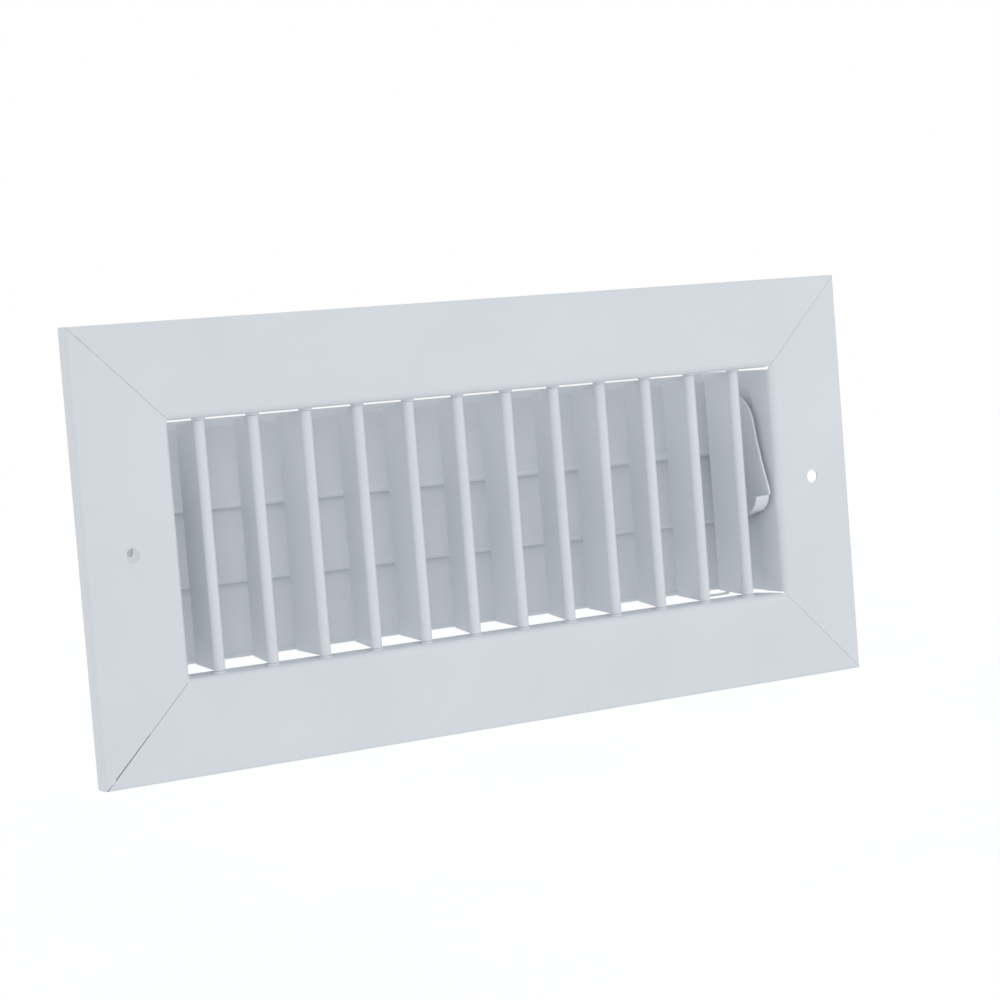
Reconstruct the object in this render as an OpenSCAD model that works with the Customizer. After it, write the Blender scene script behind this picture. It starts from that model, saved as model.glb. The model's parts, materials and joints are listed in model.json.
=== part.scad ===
// Side-wall supply register: a mitred sheet-steel face frame, twelve upright
// airfoil blades that turn one by one, and a three-shutter damper with its lever.
// X runs along the width, Y runs back into the wall, Z is up.
// The origin is the centre of the face frame's front plane.

/* [Face frame] */
// Overall width of the face frame
face_w = 298.45; // [270:0.05:340]
// Overall height of the face frame
face_h = 146.05; // [135:0.05:170]
// Width of the flat border around the opening
border_w = 31.75; // [26:0.05:36]
// Thickness of the frame's sheet steel
sheet_t = 0.9; // [0.7:0.1:1.2]
// Depth of the lip turned back at the outer edge
lip_d = 7; // [5:0.5:10]
// Outside bend radius of the lip
lip_r = 1.1; // [1.1:0.1:2.5]
// Depth of the neck leg turned back at the opening
neck_d = 12.7; // [11:0.1:16]
// Outside bend radius at the opening
neck_r = 2.6; // [1.6:0.1:3]
// Gap left in a closed mitre
mitre_gap = 0.15; // [0.05:0.05:0.4]
// Gap at the outer end of the one mitre that stands open
open_mitre_gap = 0.7; // [0.1:0.1:1.2]
// How far the top and bottom neck legs are cut back at their rear corners
leg_relief = 4.3; // [1:0.1:6]
// How far the side walls stop short of the top of the opening
side_drop = 0.9; // [0.2:0.1:1.5]
// How far the side walls stop short of the bottom of the opening
side_lift = 0.3; // [0.1:0.1:1]

/* [Wall screws] */
// Distance from the outer edge to the centre of a screw hole
screw_inset = 15.875; // [13:0.125:18]
// Diameter of a screw hole
screw_d = 4.8; // [3:0.1:6]

/* [Corner keys] */
// Length of each leg of the keys that join the mitred corners
key_leg = 24; // [20:0.5:30]
// Width of a key's leg
key_w = 13; // [8:0.5:16]
// Thickness of a key
key_t = 1.5; // [1:0.1:2.5]
// Distance from a key's outer edges to the bend of the lip
key_inset = 2; // [1:0.5:4]

/* [Blades] */
// Distance from the left side of the opening to the first blade's pivot
first_blade = 12; // [10:0.1:13]
// Distance from the last blade's pivot to the right side of the opening
last_blade = 13.3; // [13:0.1:15]
// Depth of the blade pivots behind the face
pivot_y = 4.7; // [4.6:0.1:6]
// Blade width from the front of its bead to its tail
blade_chord = 19.05; // [15:0.05:19.5]
// Diameter of the bead along a blade's front edge
bead_d = 3.8; // [3.4:0.1:4.4]
// Thickness of a blade just behind its bead
web_t = 2.0; // [1.4:0.1:2.4]
// Thickness of a blade at its tail
tail_t = 0.9; // [0.6:0.1:1.2]
// How far a blade's tail stops short of its bead at each end
tail_short = 0.9; // [0.1:0.1:1.5]
// Angle that each blade is set to, from the left, with its tail to the right when positive
blade_set = [-1.5, 4.5, -7, 4, -2, 6, -2, 7, -2, 7, 0.5, -1.5];

/* [Blade pivots] */
// Diameter of the steel pivot pins
pin_d = 1.6; // [1.2:0.1:2]
// Length of pin inside the blade
pin_grip = 7; // [4:0.5:12]
// Diameter of a pin's flat head
pin_head_d = 3; // [2.6:0.1:3.4]
// Thickness of a pin's flat head
pin_head_t = 0.5; // [0.4:0.1:1]
// Diameter of a nylon bush's shank
bush_d = 3.2; // [2.6:0.1:3.6]
// Diameter of a nylon bush's flange
flange_d = 4.4; // [4:0.1:5]
// Thickness of a nylon bush's flange
flange_t = 0.7; // [0.5:0.1:1]
// Length of bush that stands out behind the sheet
bush_out = 0.5; // [0.2:0.1:1]
// Running clearance around a pin
run_fit = 0.05; // [0.02:0.01:0.1]
// End play between a blade and its bushes
end_play = 0.1; // [0.05:0.05:0.3]

/* [Damper ends] */
// Distance from the bend at the opening back to the end plates' front edge
end_gap = 1; // [0.5:0.1:2]
// Thickness of the damper's end plates
end_t = 0.7; // [0.6:0.1:1.2]
// Distance from the open shutters back to the end plates' rear edge
end_room = 2.1; // [1.8:0.1:10]
// Width of the flange turned in at the rear edge
end_flange = 6; // [3:0.5:10]
// Outside bend radius of that flange
end_bend_r = 1.8; // [1.3:0.1:3]
// Radius of the plates' rear corners
end_corner_r = 8; // [3:0.5:12]
// Length of the foot turned in under the bottom shutter
foot_l = 10; // [5:0.5:14]
// Depth of that foot from front to back
foot_w = 2; // [1:0.5:6]
// Height of the foot below the opening
foot_drop = 2.4; // [1.5:0.1:4]

/* [Shutters] */
// How much lower the row of closed shutters is than the opening
shutter_short = 1.35; // [1:0.05:3]
// How far each closed shutter laps the next
shutter_lap = 5.6; // [4:0.1:6.5]
// Height of the middle shutter's pivot from the middle of the opening
shutter_mid_z = -0.8; // [-1.6:0.1:0]
// Clearance between the blades' tails and the shutters when these stand open
shutter_clear = 2.25; // [1.75:0.05:6]
// Thickness of the shutter sheet
shutter_t = 0.6; // [0.4:0.1:0.8]
// Distance from the pivot forward to the sheet
shutter_set = 3.2; // [3:0.1:4]
// Lean of a closed shutter, lower edge forward
shutter_lean = 6; // [5:0.5:8]
// Diameter of the hem rolled along a shutter's lower edge
hem_d = 1.7; // [1.5:0.1:2.6]
// Width of the strip turned back along a shutter's upper edge
crease_w = 3; // [2:0.5:4]
// Angle of that strip
crease_angle = 20; // [10:1:30]
// Thickness of the ears at the shutters' ends
ear_t = 0.8; // [0.6:0.1:1]
// Height of an ear where it leaves the sheet
ear_h = 18; // [14:1:20]
// Radius of the eyes on the ears and the link
eye_r = 3; // [2.6:0.1:3.4]
// Diameter of the rivets that the shutters turn on
rivet_d = 2.5; // [2:0.1:3]
// Diameter of the rivets' heads
rivet_head_d = 5; // [4.2:0.1:6]
// Thickness of the rivets' heads
rivet_head_t = 0.8; // [0.5:0.1:1.2]
// Diameter of the rivets' upset ends
upset_d = 4; // [3.4:0.1:4.2]
// Outside diameter of the nylon spacers on the rivets
spacer_d = 4.6; // [4.2:0.1:5]
// Gap beside parts that slide past each other
side_gap = 0.1; // [0.05:0.05:0.2]

/* [Linkage and lever] */
// Throw of the cranks on the shutters and the lever
crank = 8; // [7.5:0.1:9]
// Angle of the cranks above level when the damper is closed
crank_angle = 38; // [34:1:42]
// Width of the link bar
link_w = 4.6; // [4:0.1:5]
// Thickness of the link bar
link_t = 1.2; // [1:0.1:1.4]
// Diameter of the pins that join the cranks to the link
crank_pin_d = 2.2; // [1.8:0.1:2.6]
// Diameter of those pins' heads and collars
crank_head_d = 3.6; // [3:0.1:4]
// Thickness of those pins' heads
crank_head_t = 0.6; // [0.4:0.1:0.8]
// Clearance around the pins where the shutters' cranks meet the link
link_fit = 0.15; // [0.1:0.05:0.25]
// Distance from the lever's pin back to the bend in the link's arm
arm_bend = 6; // [4:0.5:9]
// Clearance between the head of the lever's pin and the end plate
head_clear = 0.4; // [0.3:0.1:0.6]
// Gap between the lever and the link
link_gap = 0.6; // [0.2:0.1:0.8]
// Gap between the lever and the shutters' ears
lever_gap = 0.4; // [0.3:0.1:0.6]
// Depth of the lever's pivot behind the face
lever_y = 22; // [21:0.5:23]
// Distance from the top of the opening down to the lever's pivot
lever_drop = 22.275; // [21:0.025:24]
// Thickness of the lever
lever_t = 0.9; // [0.8:0.1:1.4]
// Radius of the lever's round upper end
lever_r = 13.3; // [12.5:0.1:14.5]
// Reach of the lever from its pivot forward to its lower front corner
lever_fwd = 20; // [18:0.1:22]
// Reach of the lever from its pivot down to the end of that corner
lever_down = 30.3; // [28:0.1:32]
// Radius of the lever's lower front corner
lever_corner_r = 6.9; // [4:0.1:8]
// Depth of the hollow in the lever's front edge
lever_hollow = 0.6; // [0.1:0.1:1.2]
// Radius of the lever's heel, its lower rear corner
heel_r = 4; // [2:0.5:6]
// Distance of the heel's centre behind the pivot
heel_back = 4.4; // [2:0.1:6]
// Distance of the heel's centre below the pivot
heel_down = 30.4; // [29:0.1:33]
// Width of the finger tab turned in around the lower front corner
tab_w = 6.3; // [5:0.1:7]
// Thickness of the finger tab
tab_t = 1; // [0.8:0.1:1.2]
// Distance of the tab's upper edge below the corner's centre
tab_start = 1; // [0:0.2:4]
// Depth of the tab before it starts to taper
tab_flat = 6; // [3:0.5:8]
// Length of the tab along the lever's lower edge
tab_back = 4; // [2:0.5:12]
// Diameter of the spacer between the lever and the end plate
lever_spacer_d = 7; // [5:0.1:7.5]

/* [Hidden] */
$fn = 64;
blade_count = 12;
shutter_count = 3;
over = 1;                       // how far a cutter runs past what it cuts

// Face frame
open_w = face_w - 2 * border_w;
open_h = face_h - 2 * border_w;
half_w = open_w / 2;
half_h = open_h / 2;
side_top = half_h - side_drop;  // top edge of the side walls
side_low = side_lift - half_h;  // and their bottom edge

// Blades
blade_pitch = (open_w - first_blade - last_blade) / (blade_count - 1);
function blade_x(i) = first_blade - half_w + i * blade_pitch;
bead_r = bead_d / 2;
tail_y = blade_chord - bead_r;  // from the pivot back to the tail's tip
blade_h = open_h - 2 * (flange_t + end_play);
groove_r = 0.35;                // groove between bead and web
pin_bore_d = pin_d + 2 * run_fit;

// Damper, from the blades' tails back
lever_z = open_h / 2 - lever_drop;
shutter_pitch = (open_h - shutter_short - shutter_lap) / shutter_count;
shutter_w = shutter_pitch + shutter_lap;
shutter_y = pivot_y + tail_y + shutter_clear + shutter_w / 2;
end_rear = shutter_y + shutter_w / 2 + end_room;

// Damper, from the inside face of an end plate inwards
end_x = half_w + sheet_t;
end_front = neck_r + end_gap;
ear_left_x = end_x - flange_t - side_gap;
link_x = end_x - head_clear - crank_head_t - side_gap - link_t;
lever_x = link_x - link_gap - lever_t;
ear_right_x = lever_x - lever_gap;
sheet_y = -shutter_set;         // the sheet's back, from a shutter's pivot
hem_r = hem_d / 2;
rivet_bore_d = rivet_d + 2 * run_fit;
function shutter_z(i) = shutter_mid_z + ((shutter_count - 1) / 2 - i) * shutter_pitch;
crank_dy = crank * cos(crank_angle);
crank_dz = crank * sin(crank_angle);
pin_y = shutter_y + crank_dy;
arm_z = shutter_z(0) + crank_dz - shutter_pitch / 2;
arm_bend_y = lever_y + crank_dy + arm_bend;
crank_bore_d = crank_pin_d + 2 * link_fit;
lever_corner = [lever_corner_r - lever_fwd, lever_corner_r - lever_down];
lever_heel = [heel_back, -heel_down];

powder = "#E3E8EC";
nylon = "#F2F1EC";
steel = "#B9BDC1";

// ---------- shared shapes ----------

// A quarter of a bent sheet: centre at the origin, outside radius r, in the -x -y quadrant
module bend(r, t) {
    intersection() {
        difference() {
            circle(r = r);
            circle(r = r - t);
        }
        translate([-r, -r]) square(r);
    }
}

// A solid along X: the child outline is drawn with x as depth Y and y as height Z
module along_x(x0, x1) {
    translate([x0, 0, 0]) rotate([90, 0, 90]) linear_extrude(x1 - x0) children();
}

// A round bar along X through depth y and height z
module rod_x(x0, x1, d, y = 0, z = 0) {
    translate([x0, y, z]) rotate([0, 90, 0]) cylinder(d = d, h = x1 - x0);
}

// A strip of sheet with round ends between two points
module strip(p, q, w) {
    d = q - p;
    translate(p) circle(d = w);
    translate(q) circle(d = w);
    translate(p) rotate(atan2(d[1], d[0])) translate([0, -w / 2]) square([norm(d), w]);
}

// ---------- face frame ----------

// Section of a frame bar: x runs outward from the opening's edge, y runs back
module bar_section() {
    translate([neck_r, 0]) square([border_w - neck_r - lip_r, sheet_t]);
    translate([neck_r, neck_r]) bend(neck_r, sheet_t);
    translate([0, neck_r]) square([sheet_t, neck_d - neck_r]);
    translate([border_w - lip_r, lip_r]) mirror([1, 0]) bend(lip_r, sheet_t);
    translate([border_w - sheet_t, lip_r]) square([sheet_t, lip_d - lip_r]);
}

// A bar along Z with its mitres cut, x outward, for an opening edge 2 * half_len long.
// gap_low opens the mitre at the low end of Z towards its outer corner.
module bar(half_len, gap_low = 0) {
    g = mitre_gap * sqrt(2) / 2;
    outer = border_w + over;
    intersection() {
        linear_extrude(2 * (half_len + outer), center = true) bar_section();
        rotate([90, 0, 0]) linear_extrude(2 * (neck_d + over), center = true)
            polygon([[-over, -half_len + over + g], [0, -half_len + g],
                [outer, -half_len - outer + g + gap_low * sqrt(2)],
                [outer, half_len + outer - g], [0, half_len - g], [-over, half_len - over - g]]);
    }
}

// What is cut from both rear corners of a top or bottom bar's neck leg
module leg_reliefs() {
    for (s = [-1, 1]) scale([s, 1, 1])
        translate([0, 0, -over]) linear_extrude(neck_r + over)
            polygon([[half_w, neck_r / 2], [half_w + over, neck_r / 2],
                [half_w + over, neck_d + over], [half_w - leg_relief, neck_d + over],
                [half_w - leg_relief, neck_d]]);
}

// The holes for the bushes in the top neck leg
module blade_holes() {
    for (i = [0 : blade_count - 1]) translate([blade_x(i), pivot_y, half_h - over])
        cylinder(d = bush_d, h = sheet_t + 2 * over);
}

// A bar above the opening before its holes, its right-hand mitre open by gap
module long_bar(gap = 0) {
    translate([0, 0, half_h]) difference() {
        rotate([0, -90, 0]) bar(half_w, gap);
        leg_reliefs();
    }
}

module frame_top() {
    color(powder) difference() {
        long_bar();
        blade_holes();
    }
}

// The same bar turned half round, so that its open mitre comes at the left
module frame_bottom() {
    color(powder) difference() {
        rotate([0, 180, 0]) long_bar(open_mitre_gap);
        mirror([0, 0, 1]) blade_holes();
    }
}

// The right-hand bar, with its screw hole and its wall cut short at the top and the bottom
module side_bar() {
    difference() {
        translate([half_w, 0, 0]) bar(half_h);
        translate([half_w + border_w - screw_inset, -over, 0]) rotate([-90, 0, 0])
            cylinder(d = screw_d, h = sheet_t + 2 * over);
        for (z = [side_top, side_low - border_w])
            translate([half_w - over, sheet_t, z]) cube([neck_r + over, neck_d, border_w]);
    }
}

module frame_right() {
    color(powder) side_bar();
}

module frame_left() {
    color(powder) mirror([1, 0, 0]) side_bar();
}

// Flat L-shaped keys behind the face, one across each mitre
module corner_keys() {
    x1 = half_w + border_w - lip_r - key_inset;
    z1 = half_h + border_w - lip_r - key_inset;
    color(steel) for (sx = [-1, 1], sz = [-1, 1]) scale([sx, 1, sz])
        translate([0, sheet_t, 0]) {
            translate([x1 - key_leg, 0, z1 - key_w]) cube([key_leg, key_t, key_w]);
            translate([x1 - key_w, 0, z1 - key_leg]) cube([key_w, key_t, key_leg]);
        }
}

// ---------- blade pivots ----------

// Nylon bushes in the top neck leg, flange inside the opening
module bushes() {
    color(nylon) for (i = [0 : blade_count - 1])
        translate([blade_x(i), pivot_y, half_h]) difference() {
            union() {
                translate([0, 0, -flange_t]) cylinder(d = flange_d, h = flange_t);
                cylinder(d = bush_d, h = sheet_t + bush_out);
            }
            translate([0, 0, -flange_t - over])
                cylinder(d = pin_bore_d, h = flange_t + sheet_t + bush_out + 2 * over);
        }
}

// Headed pins through the bushes into the blades
module pins() {
    head_z = half_h + sheet_t + bush_out;
    color(steel) for (i = [0 : blade_count - 1]) translate([blade_x(i), pivot_y, 0]) {
        translate([0, 0, half_h - flange_t - end_play - pin_grip])
            cylinder(d = pin_d, h = head_z - half_h + flange_t + end_play + pin_grip);
        translate([0, 0, head_z]) cylinder(d = pin_head_d, h = pin_head_t);
    }
}

module blade_bushes_top() { bushes(); }
module blade_bushes_bottom() { mirror([0, 0, 1]) bushes(); }
module blade_pins_top() { pins(); }
module blade_pins_bottom() { mirror([0, 0, 1]) pins(); }

// ---------- blades ----------

// Section of a blade with its pivot at the origin and its tail towards +y
module blade_section() {
    end_y = tail_y - tail_t / 2;
    difference() {
        union() {
            circle(r = bead_r);
            polygon([[-web_t / 2, 0], [web_t / 2, 0], [web_t / 2, bead_r], [tail_t / 2, end_y],
                [-tail_t / 2, end_y], [-web_t / 2, bead_r]]);
            translate([0, end_y]) circle(d = tail_t);
        }
        circle(d = pin_bore_d);
        for (s = [-1, 1]) translate([s * (web_t / 2 + groove_r / 2), bead_r]) circle(r = groove_r);
    }
}

// A blade seen from the side, x from its pivot towards the tail, both ends cut back to the tail
module blade_side() {
    top = blade_h / 2;
    tail = top - tail_short;
    polygon([[-bead_r - over, -top], [bead_r, -top], [tail_y, -tail], [tail_y + over, -tail],
        [tail_y + over, tail], [tail_y, tail], [bead_r, top], [-bead_r - over, top]]);
}

module blade(i) {
    color(powder) translate([blade_x(i), pivot_y, 0]) rotate([0, 0, -blade_set[i]])
        intersection() {
            linear_extrude(blade_h + 2 * over, center = true) blade_section();
            along_x(-bead_r - over, bead_r + over) blade_side();
        }
}

// ---------- damper ----------

// Outline of an end plate: x is depth Y, y is height Z
module end_outline() {
    r = end_corner_r;
    rear = end_rear - end_bend_r;
    tall = side_top - side_low;
    translate([end_front, side_low]) square([rear - r - end_front, tall]);
    translate([rear - r - over, side_low + r]) square([r + over, tall - 2 * r]);
    translate([rear - r, side_low + r]) circle(r = r);
    translate([rear - r, side_top - r]) circle(r = r);
    translate([shutter_y - foot_w, -half_h - foot_drop])
        square([foot_w, foot_drop + side_lift + over]);
}

module damper_end() {
    rear = end_rear - end_bend_r;
    difference() {
        union() {
            along_x(end_x, end_x + end_t) end_outline();
            translate([end_x + end_t - end_bend_r, rear, side_low + end_corner_r])
                linear_extrude(side_top - side_low - 2 * end_corner_r) {
                    rotate(180) bend(end_bend_r, end_t);
                    translate([-end_flange, end_bend_r - end_t]) square([end_flange, end_t]);
                }
            translate([end_x + end_t - foot_l, shutter_y - foot_w, -half_h - foot_drop])
                cube([foot_l, foot_w, end_t]);
        }
        for (i = [0 : shutter_count - 1])
            rod_x(end_x - over, end_x + end_t + over, rivet_d, shutter_y, shutter_z(i));
    }
}

module damper_end_left() {
    color(powder) mirror([1, 0, 0]) damper_end();
}

module damper_end_right() {
    color(powder) difference() {
        damper_end();
        rod_x(end_x - over, end_x + end_t + over, rivet_d, lever_y, lever_z);
    }
}

// Nylon spacers between the shutters' ears and the end plates
module shutter_spacers() {
    color(nylon) for (i = [0 : shutter_count - 1]) {
        spacer(-end_x, -ear_left_x - side_gap, spacer_d, shutter_y, shutter_z(i));
        spacer(ear_right_x + side_gap, end_x, spacer_d, shutter_y, shutter_z(i));
    }
}

module spacer(x0, x1, d, y, z) {
    difference() {
        rod_x(x0, x1, d, y, z);
        rod_x(x0 - over, x1 + over, rivet_bore_d, y, z);
    }
}

// Rivets through the end plates that the shutters turn on
module shutter_rivets() {
    color(steel) for (i = [0 : shutter_count - 1]) translate([0, shutter_y, shutter_z(i)]) {
        rivet(end_x + end_t, ear_right_x - ear_t - side_gap);
        mirror([1, 0, 0]) rivet(end_x + end_t, ear_left_x - ear_t - side_gap);
    }
}

// A rivet along X with its head outside x_out and its upset end inside x_in
module rivet(x_out, x_in) {
    rod_x(x_in - rivet_head_t, x_out + rivet_head_t, rivet_d);
    rod_x(x_out, x_out + rivet_head_t, rivet_head_d);
    rod_x(x_in - rivet_head_t, x_in, upset_d);
}

// Section of a shutter around its pivot, upright, front towards -x
module shutter_section() {
    low = -shutter_w / 2;
    bend_z = shutter_w / 2 - crease_w;
    hem_y = sheet_y - shutter_t / 2;
    translate([sheet_y - shutter_t, low + hem_r]) square([shutter_t, bend_z - low - hem_r]);
    translate([hem_y, bend_z]) rotate(-crease_angle)
        translate([-shutter_t / 2, 0]) square([shutter_t, crease_w]);
    translate([hem_y, bend_z]) circle(d = shutter_t);
    translate([hem_y, low + hem_r]) difference() {
        circle(r = hem_r);
        circle(r = hem_r - shutter_t);
    }
}

// An ear: from the sheet back to the pivot's eye, and to the crank's eye if it has one
module ear_outline(with_crank) {
    difference() {
        union() {
            circle(r = eye_r);
            polygon([[sheet_y, -ear_h / 2], [0, -eye_r], [0, eye_r], [sheet_y, ear_h / 2]]);
            if (with_crank) {
                strip([0, 0], crank * crank_dir(), 2 * eye_r);
                polygon([[sheet_y, ear_h / 2], [sheet_y, 0], crank * crank_dir()]);
            }
        }
        circle(d = rivet_bore_d);
        if (with_crank) translate(crank * crank_dir()) circle(d = crank_bore_d);
    }
}
function crank_dir() = [cos(crank_angle + shutter_lean), sin(crank_angle + shutter_lean)];

module shutter(i) {
    color(powder) translate([0, shutter_y, shutter_z(i)]) rotate([-shutter_lean, 0, 0]) {
        along_x(-ear_left_x, ear_right_x) shutter_section();
        along_x(-ear_left_x, -ear_left_x + ear_t) ear_outline(false);
        along_x(ear_right_x - ear_t, ear_right_x) ear_outline(true);
    }
}

// ---------- linkage and lever ----------

// Flat link from the three cranks forward to the lever
module link_bar() {
    top = [pin_y, shutter_z(0) + crank_dz];
    low = [pin_y, shutter_z(shutter_count - 1) + crank_dz];
    bend_at = [arm_bend_y, arm_z];
    tip = [lever_y + crank_dy, lever_z + crank_dz];
    color(steel) along_x(link_x, link_x + link_t) difference() {
        union() {
            strip(low, top, link_w);
            strip([pin_y, arm_z], bend_at, link_w);
            strip(bend_at, tip, link_w);
            for (i = [0 : shutter_count - 1])
                translate([pin_y, shutter_z(i) + crank_dz]) circle(r = eye_r);
            translate(tip) circle(r = eye_r);
        }
        for (i = [0 : shutter_count - 1])
            translate([pin_y, shutter_z(i) + crank_dz]) circle(d = crank_pin_d);
        translate(tip) circle(d = crank_pin_d + 2 * run_fit);
    }
}

// Pins pressed into the link that the shutters' cranks turn on
module crank_pins() {
    x0 = ear_right_x - ear_t - side_gap;
    color(steel) for (i = [0 : shutter_count - 1])
        translate([0, pin_y, shutter_z(i) + crank_dz]) {
            rod_x(x0 - crank_head_t, link_x + link_t, crank_pin_d);
            rod_x(x0 - crank_head_t, x0, crank_head_d);
            rod_x(ear_right_x + side_gap, link_x, crank_head_d);
        }
}

// Pin fixed in the lever that drives the link
module lever_pin() {
    color(steel) translate([0, lever_y + crank_dy, lever_z + crank_dz]) {
        rod_x(lever_x, link_x + link_t + side_gap, crank_pin_d);
        rod_x(link_x + link_t + side_gap, link_x + link_t + side_gap + crank_head_t, crank_head_d);
    }
}

module lever_spacer() {
    color(nylon) spacer(lever_x + lever_t + side_gap, end_x, lever_spacer_d, lever_y, lever_z);
}

module lever_rivet() {
    color(steel) translate([0, lever_y, lever_z]) rivet(end_x + end_t, lever_x - side_gap);
}

// Outline of the lever around its pivot: x is depth, y is height
module lever_outline() {
    high = tangent([0, 0], lever_r, lever_corner, lever_corner_r, 1);
    low = tangent(lever_corner, lever_corner_r, [0, 0], lever_r, -1);
    front = low - high;
    hollow_r = pow(norm(front) + over, 2) / (8 * lever_hollow) + lever_hollow / 2;
    difference() {
        union() {
            circle(r = lever_r);
            translate(lever_corner) circle(r = lever_corner_r);
            translate(lever_heel) circle(r = heel_r);
            polygon([high, low, lever_corner,
                tangent(lever_corner, lever_corner_r, lever_heel, heel_r, 1),
                tangent(lever_heel, heel_r, lever_corner, lever_corner_r, -1), lever_heel,
                tangent(lever_heel, heel_r, [0, 0], lever_r, 1),
                tangent([0, 0], lever_r, lever_heel, heel_r, -1)]);
        }
        translate((high + low) / 2 + (hollow_r - lever_hollow) * [front[1], -front[0]] / norm(front))
            circle(r = hollow_r);
    }
}

// Where the outer tangent of two circles touches the first one; side is 1 when the tangent
// leaves the first circle on the right-hand side of the way to the second, -1 on the left
function tangent(p, r, q, s, side) =
    let (d = q - p, a = atan2(d[1], d[0]), b = acos((r - s) / norm(d)))
    p + r * [cos(a - side * b), sin(a - side * b)];

// The finger tab: the lever's edge turned in round its lower front corner and a little
// way along its lower edge, tapering to the back
module finger_tab() {
    r = lever_corner_r;
    low = tangent(lever_corner, r, lever_heel, heel_r, 1);
    rear = tangent(lever_heel, heel_r, lever_corner, r, -1);
    turn = atan2(rear[1] - low[1], rear[0] - low[0]);
    difference() {
        along_x(lever_x + lever_t - tab_w, lever_x + lever_t / 2) {
            translate(lever_corner) difference() {
                circle(r = r);
                circle(r = r - tab_t);
                translate([-2 * r, -tab_start]) square(4 * r);
                rotate(turn) translate([0, -2 * r]) square(4 * r);
            }
            translate(low) rotate(turn) square([tab_back, tab_t]);
        }
        translate([lever_x + lever_t, lever_corner[0] - r, -2 * lever_down])
            linear_extrude(4 * lever_down) tab_taper();
    }
}

// What is cut from the rear of the tab, seen from above: x from the lever, y from its front
module tab_taper() {
    rear = lever_corner_r + tab_back;
    polygon([[-tab_w, tab_flat], [0, rear], [0, 2 * rear], [-tab_w - over, 2 * rear],
        [-tab_w - over, tab_flat]]);
}

module damper_lever() {
    color(powder) translate([0, lever_y, lever_z]) {
        along_x(lever_x, lever_x + lever_t) difference() {
            lever_outline();
            circle(d = rivet_bore_d);
            translate([crank_dy, crank_dz]) circle(d = crank_pin_d);
        }
        finger_tab();
    }
}

frame_top();
frame_bottom();
frame_left();
frame_right();
corner_keys();
blade_bushes_top();
blade_bushes_bottom();
blade_pins_top();
blade_pins_bottom();
damper_end_left();
damper_end_right();
shutter_spacers();
shutter_rivets();
lever_spacer();
lever_rivet();
blade(0);  // blade_01
blade(1);  // blade_02
blade(2);  // blade_03
blade(3);  // blade_04
blade(4);  // blade_05
blade(5);  // blade_06
blade(6);  // blade_07
blade(7);  // blade_08
blade(8);  // blade_09
blade(9);  // blade_10
blade(10);  // blade_11
blade(11);  // blade_12
shutter(0);  // shutter_top
shutter(1);  // shutter_middle
shutter(2);  // shutter_bottom
link_bar();
crank_pins();
lever_pin();
damper_lever();
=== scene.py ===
# Side-wall supply register: white powder-coated sheet steel, twelve upright airfoil
# blades on nylon bushes, and a three-shutter damper with its side lever.
# Every length in the shapes and finishes is in millimetres, and becomes metres in the mesh.

import json
import math

import bmesh
import bpy
import numpy as np
from mathutils import Matrix, Vector
from mathutils.geometry import tessellate_polygon


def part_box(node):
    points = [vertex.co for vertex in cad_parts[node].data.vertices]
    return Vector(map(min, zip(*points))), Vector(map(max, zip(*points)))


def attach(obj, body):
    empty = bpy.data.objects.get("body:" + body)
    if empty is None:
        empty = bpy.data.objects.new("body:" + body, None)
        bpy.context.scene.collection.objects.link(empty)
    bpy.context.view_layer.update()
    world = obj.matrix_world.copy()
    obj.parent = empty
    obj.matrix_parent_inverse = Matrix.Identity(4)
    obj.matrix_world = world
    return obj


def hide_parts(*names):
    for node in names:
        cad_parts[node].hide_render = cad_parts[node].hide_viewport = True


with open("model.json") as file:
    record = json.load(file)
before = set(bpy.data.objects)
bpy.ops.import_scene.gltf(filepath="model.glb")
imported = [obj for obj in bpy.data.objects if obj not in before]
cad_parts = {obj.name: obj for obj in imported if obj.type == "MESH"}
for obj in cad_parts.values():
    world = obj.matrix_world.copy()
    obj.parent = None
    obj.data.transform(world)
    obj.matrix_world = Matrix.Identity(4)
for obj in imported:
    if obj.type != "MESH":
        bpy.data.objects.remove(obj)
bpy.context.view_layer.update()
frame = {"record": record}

# ---------- sizes ----------

MM = 0.001
# Points nearer than these are one, the first in metres; the hair keeps a face inside the box
SAME_POINT, SAME_SPOT, NEARLY, HAIR = 2e-6, 1e-4, 1e-6, 0.001

# Where the CAD parts stand, in millimetres: the joints' pivots and the parts' own boxes
JOINT = {j["name"]: np.array(j["pos_m"]) / MM for j in frame["record"]["behaviour"]["joints"]}


def low(part):
    """Lowest corner of a CAD part at rest."""
    return np.array(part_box(part)[0]) / MM


def high(part):
    """Highest corner of a CAD part at rest."""
    return np.array(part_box(part)[1]) / MM


FACE_W, FACE_H, BORDER = 2 * high("frame_right")[0], 2 * high("frame_top")[2], 31.75
SHEET, LIP_D, LIP_R, NECK_D, NECK_R = 0.9, 7.0, 1.1, high("frame_top")[1], 2.6
MITRE_GAP, OPEN_MITRE_GAP, LEG_RELIEF, SIDE_DROP, SIDE_LIFT = 0.06, 0.4, 4.3, 0.9, 0.3
BEND_TO_MITRE = 0.6 * NECK_R
SCREW_INSET, SCREW_D = 15.875, 4.8
HALF_W, HALF_H = FACE_W / 2 - BORDER, FACE_H / 2 - BORDER
KEY_LEG, KEY_W, KEY_T, KEY_INSET = 24.0, 13.0, 1.5, LIP_R + 2.0
KEY_RADII = (1.5, 0.8, 0.8, 0.5, 0.8, 0.8)

# The frame bars' grids: half the square that is drawn in to each round hole, its columns,
# and how far from the opening's corners the even rows stop
SCREW_SQUARE, SCREW_STEPS, SIDE_ROWS, SIDE_ROWS_END = 3.6, 8, 8, 6
BUSH_SQUARE, BUSH_STEPS, LONG_ROWS_END = 2.0, 6, 8

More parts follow.
